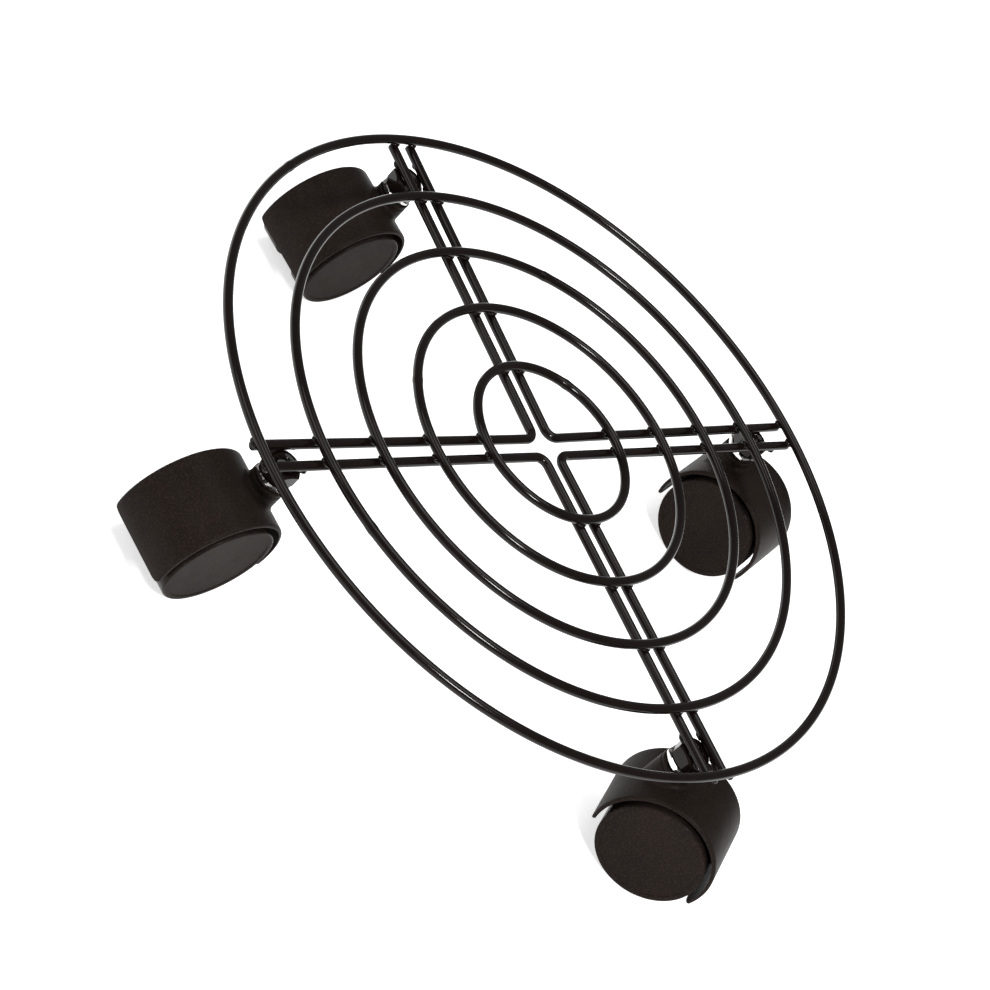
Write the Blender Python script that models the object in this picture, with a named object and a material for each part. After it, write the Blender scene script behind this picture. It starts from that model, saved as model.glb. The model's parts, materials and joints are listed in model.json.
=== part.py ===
"""Plant pot caddy: five wire rings on a cross of bent wires, rolling on four hooded twin-wheel casters.

Metres, +Z up. The origin is on the floor, under the centre of the rings. The arms of the cross lie
close to X and Y, and a caster swivels on a threaded stem near the end of each arm. The arms aren't
quite square to each other and the stems aren't evenly spaced.
"""
from math import atan2, cos, pi, radians, sin, tan

import bmesh
import bpy
from mathutils import Matrix, Vector

MM = 0.001
GAP = 0.3 * MM                    # left between pieces that touch
SHARP_DEGREES = 35.0              # edges sharper than this stay sharp when shaded

# wire frame
WIRE_R = 2.0 * MM
WIRE_SIDES = 8
RING_RADII = (36.5 * MM, 65.0 * MM, 92.9 * MM, 121.1 * MM, 150.5 * MM)
RING_SEGMENTS = (24, 32, 40, 48, 56)
ARM_ANGLES = (0.1, 88.6, 179.2, 271.0)      # in degrees from +X
LEG_OFFSET = 4.2 * MM             # from an arm's middle line to each of its two wires, at the centre
LEG_OFFSET_OUT = 4.8 * MM         # and at the outer ring
BEND_R = 4.5 * MM                 # of a cross wire's middle line
BEND_STEPS = 5

# casters
WHEEL_R = 22.5 * MM
AXLE_BELOW_RINGS = 45.3 * MM
STEM_PLACES = (
    (135.2 * MM, 1.3 * MM),
    (2.0 * MM, 135.4 * MM),
    (-136.0 * MM, 0.0 * MM),
    (1.7 * MM, -137.0 * MM),
)
NUT_TURNS = (0.0, 13.0, 0.0, 30.0)          # where each nut's corners point, in degrees from +X
COLLAR_TURNS = (53.0, 30.0, 30.0, 14.0)     # the same for each stem's collar
CASTER_YAW = (290.4, 186.5, 184.9, 302.7)   # where each caster trails at rest, in degrees from +X
TRAIL = 16.2 * MM                 # from the swivel axis to the axle

RING_Z = WHEEL_R + AXLE_BELOW_RINGS
CROSS_Z = RING_Z - 2 * WIRE_R - GAP

# weld nut and stem, from the top down
NUT_ACROSS_FLATS = 13.0 * MM
NUT_HEIGHT = 6.5 * MM
NUT_BORE_R = 4.2 * MM
NUT_CHAMFER = 0.5 * MM
NUT_TOP = CROSS_Z - WIRE_R - GAP
NUT_BOTTOM = NUT_TOP - NUT_HEIGHT
THREAD_R = 3.9 * MM
THREAD_RECESS = 1.4 * MM          # the stem's tip below the nut's top
STEM_CHAMFER = 0.8 * MM           # of both its ends
COLLAR_ACROSS_FLATS = 14.0 * MM
COLLAR_HEIGHT = 2.2 * MM
COLLAR_CHAMFER = 0.3 * MM
COLLAR_TOP = NUT_BOTTOM - GAP
COLLAR_BOTTOM = COLLAR_TOP - COLLAR_HEIGHT
WASHER_R = 6.4 * MM
WASHER_HEIGHT = 0.5 * MM
WASHER_SLACK = 0.2 * MM           # under the collar
WASHER_TOP = COLLAR_BOTTOM - WASHER_SLACK
WASHER_BOTTOM = WASHER_TOP - WASHER_HEIGHT
HORN_TOP = WASHER_BOTTOM - GAP
HORN_R = 7.5 * MM
HORN_SEGMENTS = 20
HORN_EDGE = 0.6 * MM
HORN_HEIGHT = 19.2 * MM           # down to where its leading side is lost in the hood's wall
SHANK_R = 3.8 * MM
SHANK_LENGTH = 21.0 * MM          # below the collar
SOCKET_R = 4.2 * MM
SOCKET_DEPTH = 21.5 * MM
GRIP_TOP = HORN_TOP - 6.0 * MM
GRIP_HEIGHT = 2.4 * MM
GROOVE_TOP = GRIP_TOP + GAP       # of the grooves that hold the grip ring
GROOVE_BOTTOM = GRIP_TOP - GRIP_HEIGHT - GAP
GRIP_R = 4.6 * MM
GRIP_INNER_R = 3.5 * MM
GRIP_ARC = 320.0
STEM_SEGMENTS = 16

# hood
HOOD_R = 26.5 * MM
HOOD_INNER_R = 24.9 * MM
HOOD_HALF_WIDTH = 17.2 * MM
HOOD_EDGE = 1.2 * MM              # rounding of its outer edges
HOOD_FROM, HOOD_TO = -16.0, 198.0     # round the axle, in degrees from the trailing side
HOOD_STEPS = 24
WEB_HALF = 5.8 * MM
WEB_R = 25.6 * MM
WEB_FROM, WEB_TO = 22.0, 190.0
WEB_STEPS = 16
BOSS_R = 7.5 * MM                 # round the axle, at the web's lower corner
BOSS_FROM, BOSS_TO = 215.0, 325.0
BOSS_STEPS = 6
WHEEL_SPACE_R = HOOD_INNER_R + 0.7 * MM     # how far in the horn is cut back for the wheels
WHEEL_SPACE_SEGMENTS = 64

# wheels and axle
WHEEL_SEGMENTS = 28
WHEEL_FACE = 18.0 * MM            # from the caster's middle plane to the wheel's outer face
WHEEL_TO_WEB = 0.6 * MM
WHEEL_INNER = WEB_HALF + WHEEL_TO_WEB
WHEEL_EDGE = 0.8 * MM
WHEEL_WALL = 2.6 * MM
HUB_R = 6.0 * MM
AXLE_R = 2.5 * MM
AXLE_BORE_R = AXLE_R + GAP
AXLE_HALF_LENGTH = 14.5 * MM
AXLE_CHAMFER = 0.4 * MM

COLOURS = {
    # name: (colour, roughness, metallic)
    "wire_coating": ((0.035, 0.028, 0.026), 0.35, 0.0),
    "zinc": ((0.72, 0.72, 0.70), 0.28, 1.0),
    "spring_steel": ((0.45, 0.45, 0.46), 0.35, 1.0),
    "black_nylon": ((0.050, 0.045, 0.043), 0.55, 0.0),
    "wheel_plastic": ((0.060, 0.055, 0.053), 0.60, 0.0),
    "washer_plastic": ((0.02, 0.02, 0.02), 0.50, 0.0),
}


def clear_scene():
    for obj in list(bpy.data.objects):
        bpy.data.objects.remove(obj, do_unlink=True)


def make_material(name):
    colour, roughness, metallic = COLOURS[name]
    material = bpy.data.materials.new(name)
    material.use_nodes = True
    shader = material.node_tree.nodes["Principled BSDF"]
    shader.inputs["Base Color"].default_value = (*colour, 1.0)
    shader.inputs["Roughness"].default_value = roughness
    shader.inputs["Metallic"].default_value = metallic
    material.diffuse_color = (*colour, 1.0)
    return material


def finish_mesh(bm, name):
    """Turn a bmesh into a mesh with its faces pointing out and its round faces shaded smooth."""
    bmesh.ops.recalc_face_normals(bm, faces=bm.faces)
    mesh = bpy.data.meshes.new(name)
    bm.to_mesh(mesh)
    bm.free()
    mesh.shade_smooth()
    mesh.set_sharp_from_angle(angle=radians(SHARP_DEGREES))
    return mesh


def add_object(name, mesh, material=None, parent=None, location=(0, 0, 0), turn_z=0.0):
    obj = bpy.data.objects.new(name, mesh)
    bpy.context.collection.objects.link(obj)
    if material is not None and mesh is not None and not mesh.materials:
        mesh.materials.append(material)
    obj.parent = parent
    obj.location = location
    obj.rotation_euler = (0.0, 0.0, radians(turn_z))
    return obj


def bridge_rings(bm, rings, closed):
    """Join rings of vertices with quads. A ring of one vertex makes a fan."""
    pairs = list(zip(rings, rings[1:]))
    if closed:
        pairs.append((rings[-1], rings[0]))
    for a, b in pairs:
        count = max(len(a), len(b))
        for i in range(count):
            j = (i + 1) % count
            corners = [a[i % len(a)], a[j % len(a)], b[j % len(b)], b[i % len(b)]]
            corners = [c for k, c in enumerate(corners) if c not in corners[:k]]
            if len(corners) > 2:
                bm.faces.new(corners)


def turned(name, profile, segments):
    """Turn a profile of (radius, height) points about Z. A profile off the axis closes on itself."""
    bm = bmesh.new()
    rings = []
    for radius, height in profile:
        if radius == 0.0:
            rings.append([bm.verts.new((0.0, 0.0, height))])
            continue
        turns = [2 * pi * (i + 0.5) / segments for i in range(segments)]
        rings.append([bm.verts.new((radius * cos(t), radius * sin(t), height)) for t in turns])
    bridge_rings(bm, rings, closed=profile[0][0] > 0.0)
    return finish_mesh(bm, name)


def swept(name, path, section, closed=False):
    """Sweep a section of (sideways, up) points along a level path of (point, tangent angle)."""
    bm = bmesh.new()
    rings = []
    for (x, y, z), heading in path:
        side_x, side_y = sin(heading), -cos(heading)
        rings.append([bm.verts.new((x + s * side_x, y + s * side_y, z + up)) for s, up in section])
    bridge_rings(bm, rings, closed)
    if not closed:
        bm.faces.new(rings[0])
        bm.faces.new(rings[-1])
    return finish_mesh(bm, name)


def wire_section():
    """A round wire as a polygon with a flat side up."""
    turns = [2 * pi * (i + 0.5) / WIRE_SIDES for i in range(WIRE_SIDES)]
    corner_r = WIRE_R / cos(pi / WIRE_SIDES)
    return [(corner_r * cos(t), corner_r * sin(t)) for t in turns]


def ring_mesh(name, radius, segments):
    path = []
    for i in range(segments):
        turn = 2 * pi * (i + 0.5) / segments
        path.append(((radius * cos(turn), radius * sin(turn), 0.0), turn + pi / 2))
    return swept(name, path, wire_section(), closed=True)


def cross_wire_mesh(name, arm, next_arm):
    """One wire of the cross: in along one arm, a tight bend, and out along the next."""
    reach = RING_RADII[-1]
    spread = atan2(LEG_OFFSET_OUT - LEG_OFFSET, reach)
    first = radians(arm) + spread
    second = radians(next_arm) - spread
    start = Vector((-sin(radians(arm)), cos(radians(arm)), 0.0)) * LEG_OFFSET
    finish = Vector((sin(radians(next_arm)), -cos(radians(next_arm)), 0.0)) * LEG_OFFSET
    out_first = Vector((cos(first), sin(first), 0.0))
    out_second = Vector((cos(second), sin(second), 0.0))
    # the two middle lines cross at start + out_first * along
    between = finish - start
    along = between.cross(out_second).z / out_first.cross(out_second).z
    corner = start + out_first * along
    opening = second - first
    centre = corner + (out_first + out_second).normalized() * BEND_R / sin(opening / 2)
    bend_to_end = reach - along - BEND_R / tan(opening / 2)
    path = []
    for i in range(BEND_STEPS + 1):
        heading = first + pi - (pi - opening) * i / BEND_STEPS
        path.append((centre + Vector((-sin(heading), cos(heading), 0.0)) * BEND_R, heading))
    path.insert(0, (path[0][0] + out_first * bend_to_end, first + pi))
    path.append((path[-1][0] + out_second * bend_to_end, second))
    return swept(name, path, wire_section())


def hexagon_mesh(name, across_flats, bottom, top, chamfer):
    """A hexagon with its axis upright and a corner along X, chamfered above and below."""
    corner_r = across_flats / 2 / cos(pi / 6)
    levels = [
        (corner_r - chamfer, bottom),
        (corner_r, bottom + chamfer),
        (corner_r, top - chamfer),
        (corner_r - chamfer, top),
    ]
    bm = bmesh.new()
    rings = []
    for radius, height in levels:
        corners = [(radius * cos(pi * i / 3), radius * sin(pi * i / 3), height) for i in range(6)]
        rings.append([bm.verts.new(corner) for corner in corners])
    bridge_rings(bm, rings, closed=False)
    bm.faces.new(rings[0])
    bm.faces.new(rings[-1])
    return finish_mesh(bm, name)


def washer_mesh(name):
    profile = [
        (SOCKET_R, WASHER_BOTTOM),
        (WASHER_R, WASHER_BOTTOM),
        (WASHER_R, WASHER_TOP),
        (SOCKET_R, WASHER_TOP),
    ]
    return turned(name, profile, STEM_SEGMENTS)


def grip_ring_mesh(name):
    """An open spring ring, held in the stem's groove and gripping the horn's socket."""
    middle_r = (GRIP_R + GRIP_INNER_R) / 2
    half_wall = (GRIP_R - GRIP_INNER_R) / 2
    section = [(-half_wall, -GRIP_HEIGHT), (half_wall, -GRIP_HEIGHT), (half_wall, 0.0), (-half_wall, 0.0)]
    path = []
    for i in range(STEM_SEGMENTS + 1):
        turn = radians(GRIP_ARC) * (i / STEM_SEGMENTS - 0.5)
        path.append(((middle_r * cos(turn), middle_r * sin(turn), GRIP_TOP), turn + pi / 2))
    return swept(name, path, section)


def extruded_outline(name, outline, half_width):
    """A plate: an outline of (along, height) points, drawn out sideways along Y."""
    bm = bmesh.new()
    rings = [[bm.verts.new((x, y, z)) for x, z in outline] for y in (-half_width, half_width)]
    bridge_rings(bm, rings, closed=False)
    bm.faces.new(rings[0])
    bm.faces.new(rings[1])
    return finish_mesh(bm, name)


def arc(radius, start, stop, steps):
    """Points (along, height) of an arc round the axle, angles in degrees from the trailing side."""
    points = []
    for i in range(steps + 1):
        turn = radians(start + (stop - start) * i / steps)
        points.append((TRAIL + radius * cos(turn), WHEEL_R + radius * sin(turn)))
    return points


def hood_shell_mesh(name):
    """The curved cover over the wheels: a walled section swept round the axle."""
    edge_steps = 2
    section = []
    for side in (-1, 1):
        corner = []
        for i in range(edge_steps + 1):
            turn = (pi / 2) * i / edge_steps
            radius = HOOD_R - HOOD_EDGE * (1 - sin(turn))
            sideways = side * (HOOD_HALF_WIDTH - HOOD_EDGE * (1 - cos(turn)))
            corner.append((radius, sideways))
        inner = (HOOD_INNER_R, side * HOOD_HALF_WIDTH)
        section += [inner] + corner if side < 0 else list(reversed(corner)) + [inner]
    bm = bmesh.new()
    rings = []
    for i in range(HOOD_STEPS + 1):
        turn = radians(HOOD_FROM + (HOOD_TO - HOOD_FROM) * i / HOOD_STEPS)
        ring = [(TRAIL + r * cos(turn), y, WHEEL_R + r * sin(turn)) for r, y in section]
        rings.append([bm.verts.new(point) for point in ring])
    bridge_rings(bm, rings, closed=False)
    bm.faces.new(rings[0])
    bm.faces.new(rings[-1])
    return finish_mesh(bm, name)


def helper(name, mesh):
    """A solid that only shapes the hood."""
    obj = add_object(name, mesh)
    obj.hide_render = True
    obj.display_type = "WIRE"
    return obj


def combine(obj, other, operation):
    modifier = obj.modifiers.new(operation.lower() + "_" + other.name, "BOOLEAN")
    modifier.operation = operation
    modifier.solver = "EXACT"
    modifier.object = other


def evaluated_mesh(obj, name):
    bpy.context.view_layer.update()
    graph = bpy.context.evaluated_depsgraph_get()
    mesh = bpy.data.meshes.new_from_object(obj.evaluated_get(graph))
    mesh.name = name
    return mesh


def remove_helpers(objects):
    for obj in objects:
        bpy.data.objects.remove(obj, do_unlink=True)


def cylinder(name, radius, half_length, segments):
    profile = [(0.0, -half_length), (radius, -half_length), (radius, half_length), (0.0, half_length)]
    return turned(name, profile, segments)


def axle_cylinder(name, radius, half_length, segments):
    """A cylinder along Y, round the axle's place in a caster."""
    mesh = cylinder(name, radius, half_length, segments)
    mesh.transform(Matrix.Translation((TRAIL, 0.0, WHEEL_R)) @ Matrix.Rotation(pi / 2, 4, "X"))
    return mesh


def drilled_nut_mesh(name):
    half = NUT_HEIGHT / 2
    body = helper("nut_body", hexagon_mesh("nut_body", NUT_ACROSS_FLATS, -half, half, NUT_CHAMFER))
    bore = helper("nut_bore", cylinder("nut_bore", NUT_BORE_R, NUT_HEIGHT, STEM_SEGMENTS))
    combine(body, bore, "DIFFERENCE")
    mesh = evaluated_mesh(body, name)
    remove_helpers([body, bore])
    return mesh


def stem_mesh(name):
    """Threaded above its hexagon collar, plain below it, with a groove for the grip ring."""
    top = NUT_TOP - THREAD_RECESS
    bottom = COLLAR_BOTTOM - SHANK_LENGTH
    groove_r = GRIP_INNER_R - GAP
    middle = (COLLAR_TOP + COLLAR_BOTTOM) / 2
    profile = [
        (0.0, top),
        (THREAD_R - STEM_CHAMFER, top),
        (THREAD_R, top - STEM_CHAMFER),
        (THREAD_R, middle),
        (SHANK_R, middle),
        (SHANK_R, GROOVE_TOP),
        (groove_r, GROOVE_TOP),
        (groove_r, GROOVE_BOTTOM),
        (SHANK_R, GROOVE_BOTTOM),
        (SHANK_R, bottom + STEM_CHAMFER),
        (SHANK_R - STEM_CHAMFER, bottom),
        (0.0, bottom),
    ]
    rod = helper("rod", turned("rod", profile, STEM_SEGMENTS))
    collar_mesh = hexagon_mesh("collar", COLLAR_ACROSS_FLATS, COLLAR_BOTTOM, COLLAR_TOP, COLLAR_CHAMFER)
    collar = helper("collar", collar_mesh)
    combine(rod, collar, "UNION")
    mesh = evaluated_mesh(rod, name)
    remove_helpers([rod, collar])
    return mesh


def socket_mesh(name):
    """The hole down the horn that takes the stem, with a wider groove for the grip ring."""
    groove_r = GRIP_R + GAP
    above = HORN_TOP + 5 * MM
    bottom = HORN_TOP - SOCKET_DEPTH
    profile = [
        (0.0, above),
        (SOCKET_R, above),
        (SOCKET_R, GROOVE_TOP),
        (groove_r, GROOVE_TOP),
        (groove_r, GROOVE_BOTTOM),
        (SOCKET_R, GROOVE_BOTTOM),
        (SOCKET_R, bottom),
        (0.0, bottom),
    ]
    return turned(name, profile, STEM_SEGMENTS)


def hood_mesh(name):
    """Curved cover, middle web with the axle boss, and the horn that swivels on the stem."""
    shell = helper("shell", hood_shell_mesh("shell"))
    outline = arc(WEB_R, WEB_FROM, WEB_TO, WEB_STEPS) + arc(BOSS_R, BOSS_FROM, BOSS_TO, BOSS_STEPS)
    web = helper("web", extruded_outline("web", outline, WEB_HALF))
    horn_bottom = HORN_TOP - HORN_HEIGHT
    horn_profile = [
        (0.0, HORN_TOP),
        (HORN_R - HORN_EDGE, HORN_TOP),
        (HORN_R, HORN_TOP - HORN_EDGE),
        (HORN_R, horn_bottom),
        (0.0, horn_bottom),
    ]
    horn = helper("horn", turned("horn", horn_profile, HORN_SEGMENTS))
    space_mesh = axle_cylinder("wheel_space", WHEEL_SPACE_R, HOOD_HALF_WIDTH, WHEEL_SPACE_SEGMENTS)
    wheel_space = helper("wheel_space", space_mesh)
    socket = helper("socket", socket_mesh("socket"))
    bore_mesh = axle_cylinder("axle_bore", AXLE_BORE_R, 2 * WEB_HALF, STEM_SEGMENTS)
    axle_bore = helper("axle_bore", bore_mesh)
    combine(horn, wheel_space, "DIFFERENCE")
    combine(shell, horn, "UNION")
    combine(shell, web, "UNION")
    combine(shell, socket, "DIFFERENCE")
    combine(shell, axle_bore, "DIFFERENCE")
    mesh = evaluated_mesh(shell, name)
    remove_helpers([shell, web, horn, wheel_space, socket, axle_bore])
    mesh.shade_smooth()
    mesh.set_sharp_from_angle(angle=radians(SHARP_DEGREES))
    return mesh


def wheel_mesh(name):
    """A moulded wheel: smooth outer face, tread, and a hollow inner side with a hub. Turns about Y."""
    rim_r = WHEEL_R / cos(pi / WHEEL_SEGMENTS)
    edge_steps = 2
    profile = [(0.0, WHEEL_FACE)]
    for i in range(edge_steps + 1):
        turn = (pi / 2) * i / edge_steps
        radius = rim_r - WHEEL_EDGE * (1 - sin(turn))
        height = WHEEL_FACE - WHEEL_EDGE * (1 - cos(turn))
        profile.append((radius, height))
    profile += [
        (rim_r, WHEEL_INNER),
        (rim_r - WHEEL_WALL, WHEEL_INNER),
        (rim_r - WHEEL_WALL, WHEEL_FACE - WHEEL_WALL),
        (HUB_R, WHEEL_FACE - WHEEL_WALL),
        (HUB_R, WHEEL_INNER),
        (AXLE_BORE_R, WHEEL_INNER),
        (AXLE_BORE_R, AXLE_HALF_LENGTH + GAP),
        (0.0, AXLE_HALF_LENGTH + GAP),
    ]
    mesh = turned(name, profile, WHEEL_SEGMENTS)
    # the turning axis becomes Y, with the outer face towards +Y and a flat side down
    mesh.transform(Matrix.Rotation(-pi / 2, 4, "X"))
    return mesh


def axle_mesh(name):
    end = AXLE_HALF_LENGTH
    profile = [
        (0.0, -end),
        (AXLE_R - AXLE_CHAMFER, -end),
        (AXLE_R, AXLE_CHAMFER - end),
        (AXLE_R, end - AXLE_CHAMFER),
        (AXLE_R - AXLE_CHAMFER, end),
        (0.0, end),
    ]
    mesh = turned(name, profile, STEM_SEGMENTS)
    mesh.transform(Matrix.Rotation(pi / 2, 4, "X"))
    return mesh


def build_frame(materials):
    """Five rings lying on the four wires of the cross."""
    coating = materials["wire_coating"]
    for i, (radius, segments) in enumerate(zip(RING_RADII, RING_SEGMENTS), start=1):
        name = f"ring_{i}"
        add_object(name, ring_mesh(name, radius, segments), coating, location=(0, 0, RING_Z))
    next_arms = ARM_ANGLES[1:] + (ARM_ANGLES[0] + 360.0,)
    for i, (arm, next_arm) in enumerate(zip(ARM_ANGLES, next_arms), start=1):
        name = f"cross_wire_{i}"
        add_object(name, cross_wire_mesh(name, arm, next_arm), coating, location=(0, 0, CROSS_Z))


def build_casters(materials):
    meshes = {
        "weld_nut": (drilled_nut_mesh("weld_nut"), materials["wire_coating"]),
        "stem": (stem_mesh("stem"), materials["zinc"]),
        "swivel_washer": (washer_mesh("swivel_washer"), materials["washer_plastic"]),
        "grip_ring": (grip_ring_mesh("grip_ring"), materials["spring_steel"]),
        "hood": (hood_mesh("hood"), materials["black_nylon"]),
        "axle": (axle_mesh("axle"), materials["zinc"]),
        "wheel": (wheel_mesh("wheel"), materials["wheel_plastic"]),
    }
    turns = zip(STEM_PLACES, NUT_TURNS, COLLAR_TURNS, CASTER_YAW)
    for i, ((x, y), nut_turn, collar_turn, yaw) in enumerate(turns, start=1):
        nut_place = (x, y, NUT_TOP - NUT_HEIGHT / 2)
        add_object(f"weld_nut_{i}", *meshes["weld_nut"], location=nut_place, turn_z=nut_turn)
        add_object(f"stem_{i}", *meshes["stem"], location=(x, y, 0), turn_z=collar_turn)
        swivel = add_object(f"swivel_{i}", None, location=(x, y, 0), turn_z=yaw)
        for piece in ("swivel_washer", "grip_ring", "hood"):
            add_object(f"{piece}_{i}", *meshes[piece], parent=swivel)
        hub = add_object(f"wheel_centre_{i}", None, parent=swivel, location=(TRAIL, 0, WHEEL_R))
        add_object(f"axle_{i}", *meshes["axle"], parent=hub)
        add_object(f"wheel_{i}_left", *meshes["wheel"], parent=hub)
        add_object(f"wheel_{i}_right", *meshes["wheel"], parent=hub, turn_z=180.0)


def main():
    clear_scene()
    materials = {name: make_material(name) for name in COLOURS}
    build_frame(materials)
    build_casters(materials)


main()
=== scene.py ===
"""Looks of the plant pot caddy: fine meshes, procedural materials, camera, light and floor."""
import json
from math import atan2, cos, pi, radians, sin, sqrt, tan

import bmesh
import bpy
import numpy as np
from mathutils import Matrix, Vector, noise


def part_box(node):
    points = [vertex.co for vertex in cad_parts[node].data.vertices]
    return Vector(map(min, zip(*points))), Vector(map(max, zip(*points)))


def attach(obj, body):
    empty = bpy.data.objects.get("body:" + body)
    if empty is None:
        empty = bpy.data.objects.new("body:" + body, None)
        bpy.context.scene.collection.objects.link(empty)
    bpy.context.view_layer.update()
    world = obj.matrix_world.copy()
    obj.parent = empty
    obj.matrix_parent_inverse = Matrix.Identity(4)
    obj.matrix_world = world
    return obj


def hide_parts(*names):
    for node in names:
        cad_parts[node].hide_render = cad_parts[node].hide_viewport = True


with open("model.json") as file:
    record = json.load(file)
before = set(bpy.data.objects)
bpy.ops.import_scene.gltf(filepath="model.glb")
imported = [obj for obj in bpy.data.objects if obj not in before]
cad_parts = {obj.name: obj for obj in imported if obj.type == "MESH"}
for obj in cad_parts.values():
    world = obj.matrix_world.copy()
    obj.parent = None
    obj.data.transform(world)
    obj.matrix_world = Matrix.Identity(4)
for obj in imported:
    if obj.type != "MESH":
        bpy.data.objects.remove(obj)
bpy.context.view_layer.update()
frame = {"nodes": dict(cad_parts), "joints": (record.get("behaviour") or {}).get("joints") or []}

MM = 0.001
ARMS = (1, 2, 3, 4)
WHEEL_SIDES = ("left", "right")

# how far the hoods and the wheels' outer faces stay inside the CAD, so that its box holds them
SKIN = 0.1 * MM

# an edge is drawn sharp where its faces turn by more than this, in degrees
SHARP = 32.0
THREAD_SHARP = 24.0
WHEEL_SHARP = 28.0
HOOD_SHARP = 30.0
NEVER_SHARP = 180.0

# wire
WIRE_SIDES = 32
RING_STEP = 1.6 * MM              # between sections along a ring
CAD_WIRE_SIDES = 8
BEND_STEPS = 16
LEG_STEPS = 60
WIRE_END_EDGE = 0.35 * MM
BUTT_WELD_TURNS = (47.8, 152.0, 61.0, 196.0, 118.0)    # where each ring's two ends are welded, in degrees
BUTT_WELD_SWELL = 0.22 * MM
BUTT_WELD_REACH = 1.3 * MM
CROSSING_BEAD_SIZE = (1.10, 1.10, 0.70)    # in wire radii
CROSSING_BEAD_ROUGH = 0.09
BEAD_LUMPS = 1.6                  # how close together the lumps on a bead are

# nut and stem
NUT_BEAD_SIZE = (2.2 * MM, 1.7 * MM, 1.0 * MM)
NUT_BEAD_IN = 1.6 * MM            # from the nut's corner radius in to a bead
NUT_BEAD_OUT = 0.4 * MM
NUT_BEAD_UP = 0.1 * MM
NUT_BEAD_ROUGH = 0.22
NUT_CORNER_R = 0.55 * MM
NUT_CORNER_STEPS = 5
NUT_FLAT_STEPS = 9
NUT_FACE_R = 6.05 * MM            # where the cone of its chamfer starts
NUT_CONE = radians(30.0)
NUT_END_STEP = 0.12 * MM          # added to the drop of the cone
NUT_MOUTH = 0.5 * MM              # how much wider its hole is at the ends
NUT_THREAD_IN = 0.3 * MM          # from its end to the thread
NUT_THREAD_SLACK = 0.05 * MM
THREAD_PITCH = 1.25 * MM
THREAD_DEPTH = 0.62 * MM
THREAD_CREST = 0.12               # shares of half a pitch
THREAD_FLANK = 0.7
THREAD_STEPS = 8                  # rows to a pitch
STEM_STEPS = 72
THREAD_LEAD = 1.0 * MM            # cone on the thread's tip
THREAD_R = 3.9 * MM
NUT_BORE_R = 4.1 * MM
SHANK_R = 3.8 * MM
SHANK_EDGE = 0.6 * MM
COLLAR_FACE_R = 6.6 * MM          # where the cone of its chamfer starts
COLLAR_CORNER_CUT = 0.25 * MM
COLLAR_TO_NUT = 0.3 * MM
COLLAR_TO_WASHER = 0.2 * MM
WASHER_INNER_R = 4.2 * MM
WASHER_R = 6.4 * MM
WASHER_EDGE = 0.2 * MM
WASHER_STEPS = 64

# hood
HOOD_R = 26.5 * MM - SKIN
HOOD_INNER_R = 24.9 * MM
HOOD_EDGE = 1.2 * MM
HOOD_FROM, HOOD_TO = -16.0, 198.0
HOOD_CORNER_R = 3.2 * MM          # of its four corners, seen from outside
HOOD_END_EDGE = 0.7 * MM
HOOD_STEPS = 110
HOOD_EDGE_STEPS = 8
HOOD_MIDDLE_STEPS = 8             # from an edge to the middle
HORN_R = 7.5 * MM
# the horn's head and groove, in mm: in from HORN_R, down from the top, and the corner's radius
HORN_HEAD = (
    (0.0, 0.0, 0.5), (0.0, 1.9, 0.15), (0.25, 2.0, 0.1), (0.25, 2.4, 0.1), (0.0, 2.5, 0.15), (0.0, 3.2, 0.0),
)
HORN_FILLET_R = 1.8 * MM
HORN_SINK = 0.03 * MM             # the fillet ends this far inside the hood's surface
HORN_ROOT_R = HOOD_INNER_R + 0.9 * MM    # where the horn ends inside the hood's wall, from the axle
HORN_STEPS = 96
WEB_HALF = 5.8 * MM
WEB_R = 25.6 * MM
WEB_FROM, WEB_TO = 22.0, 190.0
WEB_STEPS = 64
BOSS_R = 7.5 * MM
BOSS_FROM, BOSS_TO = 215.0, 325.0
BOSS_STEPS = 24
AXLE_BORE_R = 2.8 * MM
SOCKET_R = 4.2 * MM
SOCKET_DEPTH = 21.5 * MM
SOCKET_CUT_ABOVE = 2 * MM         # the tool that cuts the socket starts this far above the horn
BORE_STEPS = 64

# wheel
WHEEL_EDGE = 0.8 * MM
WHEEL_WALL = 2.6 * MM
WHEEL_HUB_R = 6.0 * MM
WHEEL_STEPS = 144
AXLE_END_SLACK = 0.3 * MM
RIM_STEP_R = 20.2 * MM            # edge of the textured disc on the face
RIM_STEP_RUN = 0.3 * MM           # width of the slope round the disc
RIM_STEP_DEPTH = 0.30 * MM
RIM_POLISH = 0.30                 # how much less rough the rim is than the disc
RIM_POLISH_FROM = 21.6 * MM       # and how far from the axis that starts
RIM_BLEND = 0.3 * MM

# colours, as linear red, green and blue
COAT_DARK = (0.0046, 0.0027, 0.0022)
COAT_LIGHT = (0.0070, 0.0041, 0.0034)
COAT_THIN = (0.015, 0.010, 0.008)
NYLON_DARK = (0.0090, 0.0062, 0.0050)
NYLON_LIGHT = (0.0130, 0.0092, 0.0075)
WHEEL_DARK = (0.0095, 0.0066, 0.0055)
WHEEL_LIGHT = (0.0135, 0.0096, 0.0080)
WASHER_DARK = (0.010, 0.009, 0.009)
WASHER_LIGHT = (0.016, 0.014, 0.014)
ZINC_CLEAN = (0.80, 0.79, 0.77)
ZINC_STAINED = (0.73, 0.72, 0.69)
SPRING_CLEAN = (0.42, 0.42, 0.43)
SPRING_STAINED = (0.34, 0.33, 0.32)
FLOOR_DARK = (0.93, 0.93, 0.93)
FLOOR_LIGHT = (0.95, 0.95, 0.95)
WHITE = (1.0, 1.0, 1.0, 1.0)
DUST_GAIN = 2.1                   # how much lighter dust is than the plastic

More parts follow.
